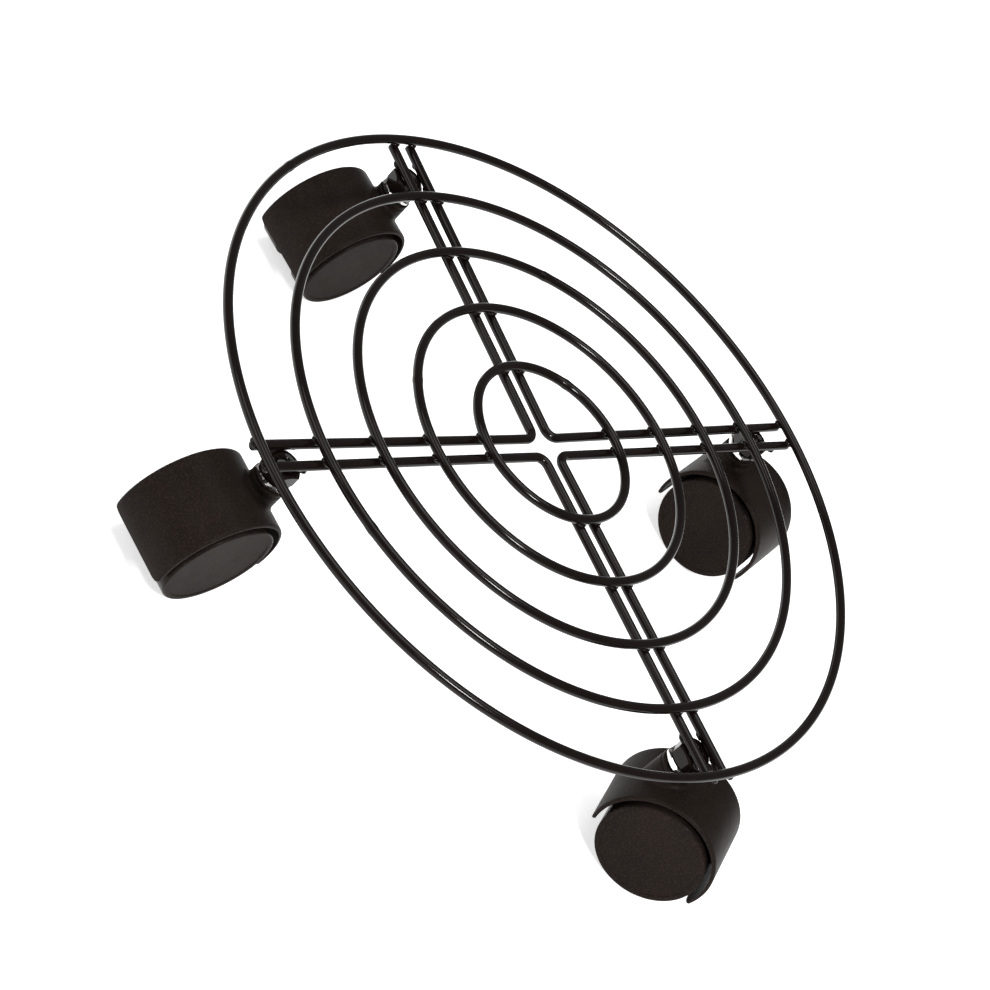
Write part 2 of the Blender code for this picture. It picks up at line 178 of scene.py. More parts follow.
# camera, lights and floor, in metres and watts
CAMERA_LENS_MM = 99.78
CAMERA_SENSOR_MM = 36.0
CAMERA_PLACE = (-0.79630, -0.38730, 0.69900)
CAMERA_RIGHT = (0.69552, -0.41324, 0.58779)
CAMERA_UP = (0.04443, 0.84123, 0.53885)
LAMPS = (                         # name, place, size across, power
    ("key", (-0.7, -1.3, 1.6), 0.4, 32.0),
    ("fill", (-1.4, 0.9, 1.2), 1.2, 8.0),
    ("top", (0.2, 0.2, 1.8), 1.4, 14.0),
)
LAMPS_AIM = (0, 0, 0.04)
WORLD_STRENGTH = 0.27
FLOOR_HALF = 60.0
FLOOR_GLOW = 0.62


# ---------------------------------------------------------------- mesh tools

def build_mesh(name, parts, sharp_degrees=SHARP):
    """One mesh from (points, faces) parts, normals out, smooth except at sharp edges."""
    bm = bmesh.new()
    for points, faces in parts:
        verts = [bm.verts.new(p) for p in points]
        for face in faces:
            bm.faces.new([verts[i] for i in face])
    bmesh.ops.remove_doubles(bm, verts=bm.verts, dist=1e-7)
    bmesh.ops.recalc_face_normals(bm, faces=bm.faces)
    mesh = bpy.data.meshes.new(name)
    bm.to_mesh(mesh)
    bm.free()
    smooth(mesh, sharp_degrees)
    return mesh


def smooth(mesh, sharp_degrees):
    mesh.shade_smooth()
    mesh.set_sharp_from_angle(angle=radians(sharp_degrees))


def loft(rows, along=False):
    """Quads between closed rows of points; along joins the last row to the first."""
    rows = [list(row) for row in rows]
    n, m = len(rows[0]), len(rows)
    points = [p for row in rows for p in row]
    faces = []
    for i in range(m if along else m - 1):
        k = (i + 1) % m
        for j in range(n):
            after = (j + 1) % n
            faces.append((i * n + j, i * n + after, k * n + after, k * n + j))
    if not along:
        faces.append(tuple(range(n)))
        faces.append(tuple((m - 1) * n + j for j in range(n)))
    return points, faces


def circle(radius, height, count):
    turns = [2 * pi * j / count for j in range(count)]
    return [(radius * cos(t), radius * sin(t), height) for t in turns]


def rounded(corners, steps=6):
    """A line through (x, y, radius) corners with each corner rounded to its radius."""
    line = []
    for i, (x, y, radius) in enumerate(corners):
        if radius == 0 or i in (0, len(corners) - 1):
            line.append((x, y))
            continue
        corner = Vector((x, y))
        back = (Vector(corners[i - 1][:2]) - corner).normalized()
        ahead = (Vector(corners[i + 1][:2]) - corner).normalized()
        half = back.angle(ahead) / 2
        centre = corner + (back + ahead).normalized() * (radius / sin(half))
        start = corner + back * (radius / tan(half)) - centre
        stop = corner + ahead * (radius / tan(half)) - centre
        sweep = pi - 2 * half
        for k in range(steps + 1):
            t = k / steps
            point = centre + (start * sin((1 - t) * sweep) + stop * sin(t * sweep)) / sin(sweep)
            line.append((point.x, point.y))
    return line


def turned_rows(profile, count):
    return [circle(max(radius, 0.0), height, count) for radius, height in profile]


def add_piece(name, mesh, material, body, replaced=(), location=(0, 0, 0), turn_z=0.0):
    piece = bpy.data.objects.new(name, mesh)
    bpy.context.scene.collection.objects.link(piece)
    if not mesh.materials:
        mesh.materials.append(material)
    piece.location = location
    piece.rotation_euler = (0.0, 0.0, turn_z)
    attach(piece, body)
    if replaced:
        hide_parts(*replaced)


def corner_turn(node, origin):
    """Where a hexagon's corners point: the angle of the CAD node's farthest point from its axis."""
    points = [v.co - origin for v in frame["nodes"][node].data.vertices]
    far = max(points, key=lambda p: p.x ** 2 + p.y ** 2)
    return atan2(far.y, far.x)


def local_box(node, origin, yaw):
    """A CAD node's lowest and highest corner in a frame at origin, turned by yaw about Z."""
    turn = Matrix.Rotation(-yaw, 3, "Z")
    points = [turn @ (v.co - origin) for v in frame["nodes"][node].data.vertices]
    low = Vector([min(p[k] for p in points) for k in range(3)])
    high = Vector([max(p[k] for p in points) for k in range(3)])
    return low, high


# ---------------------------------------------------------------- materials

class Nodes:
    """A short way to write a material's node tree. Noise scales count features to a metre."""

    def __init__(self, name):
        self.material = bpy.data.materials.new(name)
        self.material.use_nodes = True
        self.tree = self.material.node_tree
        self.shader = self.tree.nodes["Principled BSDF"]
        self.place = self.node("ShaderNodeTexCoord").outputs["Object"]

    def node(self, kind, **settings):
        made = self.tree.nodes.new(kind)
        for key, value in settings.items():
            setattr(made, key, value)
        return made

    def link(self, source, target):
        self.tree.links.new(source, target)

    def noise(self, scale, detail=4.0, roughness=0.55):
        made = self.node("ShaderNodeTexNoise")
        made.inputs["Scale"].default_value = scale
        made.inputs["Detail"].default_value = detail
        made.inputs["Roughness"].default_value = roughness
        self.link(self.place, made.inputs["Vector"])
        return made.outputs["Fac"]

    def voronoi(self, scale):
        made = self.node("ShaderNodeTexVoronoi")
        made.inputs["Scale"].default_value = scale
        self.link(self.place, made.inputs["Vector"])
        return made.outputs["Distance"]

    def span(self, value, low, high, out_low, out_high):
        made = self.node("ShaderNodeMapRange")
        for key, number in (("From Min", low), ("From Max", high), ("To Min", out_low), ("To Max", out_high)):
            made.inputs[key].default_value = number
        self.link(value, made.inputs["Value"])
        return made.outputs["Result"]

    def from_y_axis(self):
        """Distance from the object's own Y axis."""
        flat = self.node("ShaderNodeVectorMath", operation="MULTIPLY")
        flat.inputs[1].default_value = (1.0, 0.0, 1.0)
        self.link(self.place, flat.inputs[0])
        reach = self.node("ShaderNodeVectorMath", operation="LENGTH")
        self.link(flat.outputs["Vector"], reach.inputs[0])
        return reach.outputs["Value"]

    def mix(self, factor, colour_a, colour_b):
        made = self.node("ShaderNodeMix", data_type="RGBA")
        self.link(factor, made.inputs["Factor"])
        for key, colour in (("A", colour_a), ("B", colour_b)):
            socket = [s for s in made.inputs if s.name == key and s.type == "RGBA"][0]
            if isinstance(colour, tuple):
                socket.default_value = (*colour, 1.0)
            else:
                self.link(colour, socket)
        return [s for s in made.outputs if s.type == "RGBA"][0]

    def bump(self, height, strength, distance, under=None):
        made = self.node("ShaderNodeBump")
        made.inputs["Strength"].default_value = strength
        made.inputs["Distance"].default_value = distance
        self.link(height, made.inputs["Height"])
        if under is not None:
            self.link(under, made.inputs["Normal"])
        return made.outputs["Normal"]

    def set(self, **values):
        for key, value in values.items():
            socket = self.shader.inputs[key.replace("_", " ")]
            if hasattr(value, "links"):
                self.link(value, socket)
            else:
                socket.default_value = value


def powder_coat():
    """Warm black glossy powder coat on wire, with a little orange peel and slight thin spots."""
    n = Nodes("wire_coating")
    patches = n.span(n.noise(90.0, 3.0), 0.35, 0.7, 0.0, 1.0)
    colour = n.mix(patches, COAT_DARK, COAT_LIGHT)
    worn = n.span(n.noise(420.0, 2.0), 0.70, 0.86, 0.0, 0.2)
    colour = n.mix(worn, colour, COAT_THIN)
    gloss = n.span(n.noise(240.0, 4.0), 0.3, 0.7, 0.10, 0.15)
    peel = n.bump(n.noise(950.0, 2.0), 0.02, 0.02 * MM)
    peel = n.bump(n.noise(3200.0, 2.0), 0.02, 0.01 * MM, peel)
    n.set(Base_Color=colour, Roughness=gloss, Normal=peel, Metallic=0.0, Specular_IOR_Level=0.20)
    return n.material


def grained_plastic(name, dark, light, grain, roughness, depth, specular=0.035, smooth_rim=None):
    """Moulded plastic with a fine spark-eroded grain, dust in the grain and slightly uneven gloss.

    smooth_rim is a distance from the Y axis past which the moulding is polished.
    """
    n = Nodes(name)
    clouds = n.span(n.noise(70.0, 5.0), 0.3, 0.72, 0.0, 1.0)
    colour = n.mix(clouds, dark, light)
    dust = n.span(n.noise(grain, 3.0, 0.7), 0.46, 0.70, 0.0, 0.8)
    dusty = tuple(DUST_GAIN * c for c in light)
    colour = n.mix(dust, colour, dusty)
    gloss = n.span(n.noise(150.0, 5.0), 0.3, 0.7, roughness - 0.03, roughness + 0.03)
    if smooth_rim is not None:
        rim = n.span(n.from_y_axis(), smooth_rim, smooth_rim + RIM_BLEND, 0.0, RIM_POLISH)
        polish = n.node("ShaderNodeMath", operation="SUBTRACT")
        n.link(gloss, polish.inputs[0])
        n.link(rim, polish.inputs[1])
        gloss = polish.outputs["Value"]
    relief = n.bump(n.noise(grain, 4.0, 0.65), 0.55, depth)
    relief = n.bump(n.voronoi(grain * 1.7), 0.25, depth * 0.6, relief)
    n.set(Base_Color=colour, Roughness=gloss, Normal=relief, Specular_IOR_Level=specular)
    return n.material


def plated_steel(name, colour, stain, roughness):
    """Plated steel with fine marks and a slight stain."""
    n = Nodes(name)
    cloud = n.span(n.noise(260.0, 4.0), 0.35, 0.7, 0.0, 1.0)
    tint = n.mix(cloud, colour, stain)
    gloss = n.span(n.noise(700.0, 3.0), 0.3, 0.7, roughness - 0.03, roughness + 0.05)
    marks = n.bump(n.noise(2600.0, 2.0), 0.03, 0.005 * MM)
    n.set(Base_Color=tint, Roughness=gloss, Normal=marks, Metallic=1.0)
    return n.material


# ---------------------------------------------------------------- wire frame

def wire_section(radius, top=None):
    """Points (sideways, up) round a wire. A top lower than the radius leaves a flat."""
    points = []
    for j in range(WIRE_SIDES):
        turn = 2 * pi * j / WIRE_SIDES
        up = radius * sin(turn)
        points.append((radius * cos(turn), up if top is None else min(up, top)))
    return points


def ring_shape(node):
    """Radius, wire radius and height of a CAD ring, from its mesh."""
    spread = [sqrt(v.co.x ** 2 + v.co.y ** 2) for v in frame["nodes"][node].data.vertices]
    low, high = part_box(node)
    return (max(spread) + min(spread)) / 2, (high.z - low.z) / 2, (high.z + low.z) / 2


def ring_mesh(node, weld_turn):
    """A ring of round wire, a little swollen where its two ends are butt-welded."""
    radius, wire_r, height = ring_shape(node)
    count = int(2 * pi * radius / RING_STEP)
    rows = []
    for i in range(count):
        turn = 2 * pi * i / count
        away = (turn - radians(weld_turn) + pi) % (2 * pi) - pi
        swell = BUTT_WELD_SWELL * np.exp(-(away * radius / BUTT_WELD_REACH) ** 2)
        row = []
        for side, up in wire_section(wire_r + swell, wire_r):
            row.append(((radius + side) * cos(turn), (radius + side) * sin(turn), height + up))
        rows.append(row)
    return build_mesh(node + "_wire", [loft(rows, along=True)])


def cross_wire_line(node):
    """A CAD cross wire's middle line: one end, the two ends of its bend, and the other end."""
    points = {tuple(round(c, 6) for c in v.co) for v in frame["nodes"][node].data.vertices}
    flat = [Vector(p[:2]) for p in points]
    far = max(flat, key=lambda p: p.length)
    outer = [p for p in flat if p.length > far.length / 2]
    inner = [p for p in flat if p.length <= far.length / 2]
    first = [p for p in outer if p.angle(far) < pi / 4]
    second = [p for p in outer if p.angle(far) >= pi / 4]
    if far.x * second[0].y - far.y * second[0].x < 0:
        first, second = second, first
    ends = [sum(group, Vector((0, 0))) / len(group) for group in (first, second)]
    bends = []
    for end in ends:
        section = sorted(inner, key=lambda p: -p.dot(end))[:CAD_WIRE_SIDES]
        bends.append(sum(section, Vector((0, 0))) / CAD_WIRE_SIDES)
    return ends[0], bends[0], bends[1], ends[1]


def cross_wire_mesh(node, line, wire_r, height):
    """A round wire along a CAD cross wire's middle line, with a tight bend and rounded ends."""
    start, bend_in, bend_out, finish = line
    inward = (bend_in - start).normalized()
    outward = (finish - bend_out).normalized()
    first = atan2(inward.y, inward.x)
    turn = (atan2(outward.y, outward.x) - first + pi) % (2 * pi) - pi
    last = first + turn
    bend_r = (bend_out - bend_in).length / (2 * abs(sin(turn / 2)))
    centre = bend_in + Vector((sin(first), -cos(first))) * bend_r
    edge = []
    for degrees in (0.0, 30.0, 60.0, 90.0):
        a = radians(degrees)
        edge.append((WIRE_END_EDGE * (1 - cos(a)), wire_r - WIRE_END_EDGE * (1 - sin(a))))
    stations = [(start + inward * inset, first, radius) for inset, radius in edge]
    stations += [(start.lerp(bend_in, i / LEG_STEPS), first, wire_r) for i in range(1, LEG_STEPS)]
    for i in range(BEND_STEPS + 1):
        now = first + turn * i / BEND_STEPS
        stations.append((centre + Vector((-sin(now), cos(now))) * bend_r, now, wire_r))
    stations += [(bend_out.lerp(finish, i / LEG_STEPS), last, wire_r) for i in range(1, LEG_STEPS)]
    stations += [(finish - outward * inset, last, radius) for inset, radius in reversed(edge)]
    rows = []
    for (x, y), heading, radius in stations:
        rows.append([(x + side * sin(heading), y - side * cos(heading), height + up)
                     for side, up in wire_section(radius)])
    return build_mesh(node + "_fine", [loft(rows)])


def blob(centre, radii, turn_z, seed, rough):
    """An uneven bead of weld metal."""
    bm = bmesh.new()
    bmesh.ops.create_icosphere(bm, subdivisions=3, radius=1.0)
    turn = Matrix.Rotation(turn_z, 3, "Z")
    points = []
    for v in bm.verts:
        shift = noise.noise(v.co * BEAD_LUMPS + Vector((seed * 7.3, seed * 3.1, seed * 5.7)))
        out = v.co * (1.0 + rough * shift)
        points.append(tuple(Vector(centre) + turn @ Vector([out[k] * radii[k] for k in range(3)])))
    faces = [tuple(v.index for v in f.verts) for f in bm.faces]
    bm.free()
    return points, faces


def crossing_welds_mesh(number, legs, rings, wire_z, wire_r):
    """The beads where the two legs of one cross wire pass under the rings."""
    parts = []
    for side, (foot, outward) in enumerate(legs):
        for k, (radius, ring_z) in enumerate(rings):
            level = foot.dot(outward)
            place = foot + outward * (sqrt(level ** 2 - foot.length_squared + radius ** 2) - level)
            centre = (place.x, place.y, (ring_z + wire_z) / 2)
            size = [share * wire_r for share in CROSSING_BEAD_SIZE]
            heading = atan2(outward.y, outward.x)
            seed = number * 31 + k * 7 + side * 3
            parts.append(blob(centre, size, heading, seed, CROSSING_BEAD_ROUGH))
    return build_mesh(f"crossing_welds_{number}", parts, NEVER_SHARP)


def nut_welds_mesh(arm, legs, wire_z, wire_r, centre, nut_reach):
    """Short beads that hold the nut to the two wires above it."""
    parts = []
    middle = Vector((centre.x, centre.y))
    for side, (foot, outward) in enumerate(legs):
        nearest = foot + outward * (middle - foot).dot(outward)
        away = (nearest - middle).normalized() * NUT_BEAD_OUT
        heading = atan2(outward.y, outward.x)
        for end in (-1, 1):
            place = nearest + away + outward * end * (nut_reach - NUT_BEAD_IN)
            height = wire_z - wire_r + NUT_BEAD_UP
            seed = arm * 53 + end * 5 + side * 2
            parts.append(blob((place.x, place.y, height), NUT_BEAD_SIZE, heading, seed, NUT_BEAD_ROUGH))
    return build_mesh(f"nut_welds_{arm}", parts, NEVER_SHARP)


def thread_radius(turn, height, outer_r):
    """Radius of a right-hand thread, flat-topped, at a turn and height."""
    phase = (height / THREAD_PITCH - turn / (2 * pi)) % 1.0
    flank = abs(phase - 0.5) * 2
    return outer_r - THREAD_DEPTH * min(1.0, max(0.0, (flank - THREAD_CREST) / THREAD_FLANK))


def nut_mesh(apothem, height, bore_r):
    """A hexagon nut about the origin: rounded corners, coned ends and a threaded hole."""
    columns = []
    for k in range(6):
        corner = Vector((cos(k * pi / 3), sin(k * pi / 3))) * ((apothem - NUT_CORNER_R) / cos(pi / 6))
        for i in range(NUT_CORNER_STEPS):
            turn = k * pi / 3 - pi / 6 + (pi / 3) * i / (NUT_CORNER_STEPS - 1)
            columns.append(corner + Vector((cos(turn), sin(turn))) * NUT_CORNER_R)
        following = Vector((cos((k + 1) * pi / 3), sin((k + 1) * pi / 3)))
        following = following * ((apothem - NUT_CORNER_R) / cos(pi / 6))
        turn = k * pi / 3 + pi / 6
        shift = Vector((cos(turn), sin(turn))) * NUT_CORNER_R
        for i in range(1, NUT_FLAT_STEPS):
            columns.append((corner + shift).lerp(following + shift, i / NUT_FLAT_STEPS))
    turns = [atan2(p.y, p.x) for p in columns]
    reach = [p.length for p in columns]
    half = height / 2

    def ring(radii, heights):
        return [(r * cos(t), r * sin(t), z) for r, t, z in zip(radii, turns, heights)]

    count = len(columns)
    cone = [max(0.0, r - NUT_FACE_R) * tan(NUT_CONE) for r in reach]
    rows = [ring([bore_r + NUT_MOUTH] * count, [half] * count)]
    rows.append(ring([NUT_FACE_R] * count, [half] * count))
    rows.append(ring(reach, [half - c - NUT_END_STEP for c in cone]))
    rows.append(ring(reach, [c + NUT_END_STEP - half for c in cone]))
    rows.append(ring([NUT_FACE_R] * count, [-half] * count))
    rows.append(ring([bore_r + NUT_MOUTH] * count, [-half] * count))
    steps = int(height / THREAD_PITCH * THREAD_STEPS)
    for i in range(steps + 1):
        z = -half + NUT_THREAD_IN + (height - 2 * NUT_THREAD_IN) * i / steps
        radii = [thread_radius(t, z, bore_r + NUT_THREAD_SLACK) for t in turns]
        rows.append(ring(radii, [z] * count))
    return build_mesh("nut_fine", [loft(rows, along=True)], THREAD_SHARP)


def hexagon_reach(turn, apothem, corner_cut):
    """How far out a hexagon with a corner along X reaches at a turn, its corners cut a little."""
    from_face = turn % (pi / 3) - pi / 6
    return min(apothem / cos(from_face), apothem / cos(pi / 6) - corner_cut)


def stem_mesh(top, collar_apothem, collar_low, collar_high, bottom):
    """Threaded above its hexagon collar and plain below it. Heights are above the floor."""
    turns = [2 * pi * j / STEM_STEPS for j in range(STEM_STEPS)]
    reach = [hexagon_reach(t, collar_apothem, COLLAR_CORNER_CUT) for t in turns]
    cone = [(r - COLLAR_FACE_R) * tan(NUT_CONE) for r in reach]
    shank = rounded([(0.0, bottom, 0.0), (SHANK_R, bottom, SHANK_EDGE), (SHANK_R, collar_low, 0.0)])
    rows = turned_rows(shank, STEM_STEPS)
    rows.append(circle(COLLAR_FACE_R, collar_low, STEM_STEPS))
    rows.append([(r * cos(t), r * sin(t), collar_low + c) for r, t, c in zip(reach, turns, cone)])
    rows.append([(r * cos(t), r * sin(t), collar_high - c) for r, t, c in zip(reach, turns, cone)])
    rows.append(circle(COLLAR_FACE_R, collar_high, STEM_STEPS))
    steps = int((top - collar_high) / THREAD_PITCH * THREAD_STEPS)
    for i in range(steps + 1):
        z = collar_high + (top - collar_high) * i / steps
        lead = THREAD_R - max(0.0, z - (top - THREAD_LEAD))
        radii = [min(lead, thread_radius(t, z, THREAD_R)) for t in turns]
        rows.append([(r * cos(t), r * sin(t), z) for r, t in zip(radii, turns)])
    rows.append(circle(0.0, top, STEM_STEPS))
    return build_mesh("stem_fine", [loft(rows)], THREAD_SHARP)


def washer_mesh(low, high):
    line = rounded([
        (WASHER_INNER_R, low, 0.0),
        (WASHER_R, low, WASHER_EDGE),
        (WASHER_R, high, WASHER_EDGE),
        (WASHER_INNER_R, high, 0.0),
    ], 4)
    return build_mesh("washer_fine", [loft(turned_rows(line, WASHER_STEPS), along=True)])


# ---------------------------------------------------------------- hood

def hood_stations(half_width):
    """Places across the hood: (sideways, outer radius, inner radius)."""
    across = []
    for i in range(HOOD_EDGE_STEPS + 1):
        turn = (pi / 2) * i / HOOD_EDGE_STEPS
        across.append((half_width - HOOD_EDGE * (1 - cos(turn)), HOOD_R - HOOD_EDGE * (1 - sin(turn))))
    flat = half_width - HOOD_EDGE
    middle = [flat - k * flat / HOOD_MIDDLE_STEPS for k in range(1, HOOD_MIDDLE_STEPS + 1)]
    right = [(y, r, HOOD_INNER_R) for y, r in across] + [(y, HOOD_R, HOOD_INNER_R) for y in middle]
    left = [(-y, r, q) for y, r, q in reversed(right[:-1])]
    return right + left


def shell_mesh(half_width, trail, axle_z):
    """The walled cover, swept round the axle, with rounded corners and rounded ends."""
    stations = hood_stations(half_width)
    middle_r = (HOOD_R + HOOD_INNER_R) / 2
    half_wall = (HOOD_R - HOOD_INNER_R) / 2
    body = [(i / HOOD_STEPS, 0.0, half_wall) for i in range(1, HOOD_STEPS)]
    rows = []
    for share, inset, wall in end_rows(half_wall) + body + end_rows(half_wall, closing=True):
        outer, inner = [], []
        for y, r_out, r_in in stations:
            corner = max(0.0, abs(y) - (half_width - HOOD_CORNER_R))
            cut = HOOD_CORNER_R - sqrt(max(0.0, HOOD_CORNER_R ** 2 - corner ** 2))
            start = radians(HOOD_FROM) + cut / HOOD_R
            stop = radians(HOOD_TO) - cut / HOOD_R
            turn = start + (stop - start) * share + inset / HOOD_R
            for r, made in ((r_out, outer), (r_in, inner)):
                radius = middle_r + (r - middle_r) * wall / half_wall
                made.append((trail + radius * cos(turn), y, axle_z + radius * sin(turn)))
        rows.append(outer + inner[::-1])
    points, faces = loft(rows)
    faces = faces[:-2]
    count = len(stations)
    for start in (0, (len(rows) - 1) * 2 * count):
        for j in range(count - 1):
            other = 2 * count - 1 - j
            faces.append((start + j, start + j + 1, start + other - 1, start + other))
    return build_mesh("hood_shell", [(points, faces)])


def end_rows(half_wall, closing=False):
    """Rows (share of the sweep, inset along it, half wall) that round an end of the shell."""
    rows = []
    steps = 6
    for i in range(steps + 1):
        turn = (pi / 2) * i / steps
        inset = HOOD_END_EDGE * (1 - sin(turn))
        wall = half_wall - HOOD_END_EDGE * (1 - cos(turn))
        rows.append((inset, wall))
    if closing:
        return [(1.0, -inset, wall) for inset, wall in rows]
    return [(0.0, inset, wall) for inset, wall in reversed(rows)]


def arc_points(radius, start, stop, steps, trail, axle_z):
    turns = [radians(start + (stop - start) * i / steps) for i in range(steps + 1)]
    return [(trail + radius * cos(t), axle_z + radius * sin(t)) for t in turns]


def web_mesh(trail, axle_z):
    outline = arc_points(WEB_R, WEB_FROM, WEB_TO, WEB_STEPS, trail, axle_z)
    outline += arc_points(BOSS_R, BOSS_FROM, BOSS_TO, BOSS_STEPS, trail, axle_z)
    rows = [[(x, y, z) for x, z in outline] for y in (-WEB_HALF, WEB_HALF)]
    return build_mesh("hood_web", [loft(rows)])


def horn_mesh(trail, axle_z, top):
    """The upright horn, grooved round its head, and the fillet that spreads it onto the hood."""
    corners = [(HORN_R - inset * MM, top - down * MM, radius * MM) for inset, down, radius in HORN_HEAD]
    head = rounded([(0.0, top, 0.0)] + corners, 4)
    hood_r = HOOD_R - HORN_SINK
    ball = HORN_FILLET_R
    fillet_steps = 10
    wall_steps = 4
    closing = (1.0, 0.66, 0.33, 0.0)
    columns = []
    for j in range(HORN_STEPS):
        turn = 2 * pi * j / HORN_STEPS
        direction = Vector((cos(turn), sin(turn), 0.0))
        centre = direction * (HORN_R + ball)
        centre.z = axle_z + sqrt((hood_r + ball) ** 2 - (centre.x - trail) ** 2)
        to_horn = -direction
        to_hood = Vector((trail - centre.x, 0.0, axle_z - centre.z)).normalized()
        column = [direction * r + Vector((0, 0, z)) for r, z in head]
        first = column[-1].z
        for i in range(1, wall_steps):
            column.append(direction * HORN_R + Vector((0, 0, first + (centre.z - first) * i / wall_steps)))
        sweep = to_horn.angle(to_hood)
        for i in range(fillet_steps + 1):
            t = i / fillet_steps
            bend = (to_horn * sin((1 - t) * sweep) + to_hood * sin(t * sweep)) / sin(sweep)
            column.append(centre + bend * ball)
        foot = column[-1]
        foot_turn = atan2(foot.z - axle_z, foot.x - trail)
        middle_turn = atan2(sqrt(HORN_ROOT_R ** 2 - trail ** 2), -trail)
        for share in closing:
            a = middle_turn + (foot_turn - middle_turn) * share
            reach, rise = HORN_ROOT_R * cos(a), HORN_ROOT_R * sin(a)
            column.append(Vector((trail + reach, foot.y * share, axle_z + rise)))
        columns.append(column)
    rows = list(zip(*columns))
    return build_mesh("hood_horn", [loft(rows)])


def helper(name, mesh):
    made = bpy.data.objects.new(name, mesh)
    bpy.context.scene.collection.objects.link(made)
    return made


def lying_cylinder(name, radius, half_length, trail, axle_z):
    ends = [circle(radius, height, BORE_STEPS) for height in (-half_length, half_length)]
    mesh = build_mesh(name, [loft(ends)])
    mesh.transform(Matrix.Translation((trail, 0.0, axle_z)) @ Matrix.Rotation(pi / 2, 4, "X"))
    return mesh


def hood_mesh(half_width, trail, axle_z, top):
    """Cover, web and horn joined into one moulding, with the stem's socket and the axle's bore."""
    shell = helper("shell", shell_mesh(half_width, trail, axle_z))
    web = helper("web", web_mesh(trail, axle_z))
    horn = helper("horn", horn_mesh(trail, axle_z, top))
    socket_ends = (top - SOCKET_DEPTH, top + SOCKET_CUT_ABOVE)
    socket_rows = [circle(SOCKET_R, height, BORE_STEPS) for height in socket_ends]
    socket = helper("socket", build_mesh("socket", [loft(socket_rows)]))
    bore = helper("bore", lying_cylinder("bore", AXLE_BORE_R, 2 * WEB_HALF, trail, axle_z))
    for other, operation in ((web, "UNION"), (horn, "UNION"), (socket, "DIFFERENCE"), (bore, "DIFFERENCE")):
        modifier = shell.modifiers.new(other.name, "BOOLEAN")
        modifier.object = other
        modifier.operation = operation
        modifier.solver = "EXACT"
    bpy.context.view_layer.update()
    graph = bpy.context.evaluated_depsgraph_get()
    mesh = bpy.data.meshes.new_from_object(shell.evaluated_get(graph))
    mesh.name = "hood_fine"
    for made in (shell, web, horn, socket, bore):
        bpy.data.objects.remove(made, do_unlink=True)
    smooth(mesh, HOOD_SHARP)
    return mesh


# ---------------------------------------------------------------- wheels

def wheel_mesh(radius, face, inner, axle_end):
    """A moulded wheel about the origin, its axis along Y and its outer face towards +Y."""
    line = rounded([
        (0.0, face - RIM_STEP_DEPTH, 0.0),
        (RIM_STEP_R - RIM_STEP_RUN, face - RIM_STEP_DEPTH, 0.15 * MM),
        (RIM_STEP_R, face, 0.12 * MM),
        (radius, face, WHEEL_EDGE),
        (radius, inner, 0.5 * MM),
        (radius - WHEEL_WALL, inner, 0.3 * MM),
        (radius - WHEEL_WALL, face - WHEEL_WALL, 0.8 * MM),
        (WHEEL_HUB_R, face - WHEEL_WALL, 0.6 * MM),
        (WHEEL_HUB_R, inner, 0.3 * MM),
        (AXLE_BORE_R, inner, 0.2 * MM),
        (AXLE_BORE_R, axle_end, 0.0),
        (0.0, axle_end, 0.0),
    ], 8)
    mesh = build_mesh("wheel_fine", [loft(turned_rows(line, WHEEL_STEPS))], WHEEL_SHARP)
    mesh.transform(Matrix.Rotation(-pi / 2, 4, "X"))
    return mesh


# ---------------------------------------------------------------- the object

COATING = powder_coat()
NYLON = grained_plastic(
    "black_nylon", NYLON_DARK, NYLON_LIGHT, grain=1500.0, roughness=0.42, depth=0.05 * MM)
WHEEL_PLASTIC = grained_plastic(
    "wheel_plastic", WHEEL_DARK, WHEEL_LIGHT, grain=1200.0, roughness=0.50, depth=0.05 * MM,
    specular=0.026, smooth_rim=RIM_POLISH_FROM)
WASHER_PLASTIC = grained_plastic(
    "washer_plastic", WASHER_DARK, WASHER_LIGHT, grain=3000.0, roughness=0.45, depth=0.04 * MM)
ZINC = plated_steel("zinc", ZINC_CLEAN, ZINC_STAINED, roughness=0.13)
SPRING_STEEL = plated_steel("spring_steel", SPRING_CLEAN, SPRING_STAINED, roughness=0.32)


def build_frame():
    """Rings, cross wires and their welds. Returns each arm's two legs, and the wire's height and radius."""
    rings = []
    for i, weld_turn in enumerate(BUTT_WELD_TURNS, start=1):
        node = f"ring_{i}"
        radius, wire_r, height = ring_shape(node)
        rings.append((radius, height))
        add_piece(node + "_wire", ring_mesh(node, weld_turn), COATING, "frame", [node])
    low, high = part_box("cross_wire_1")
    wire_r = (high.z - low.z) / 2
    wire_z = (high.z + low.z) / 2
    legs = {arm: [] for arm in ARMS}
    for number in ARMS:
        node = f"cross_wire_{number}"
        line = cross_wire_line(node)
        mesh = cross_wire_mesh(node, line, wire_r, wire_z)
        add_piece(node + "_fine", mesh, COATING, "frame", [node])
        start, bend_in, bend_out, finish = line
        own = (bend_in, (start - bend_in).normalized())
        following = (bend_out, (finish - bend_out).normalized())
        legs[number].append(own)
        legs[number % len(ARMS) + 1].append(following)
        welds = crossing_welds_mesh(number, (own, following), rings, wire_z, wire_r)
        add_piece(f"crossing_welds_{number}", welds, COATING, "frame")
    return legs, wire_z, wire_r


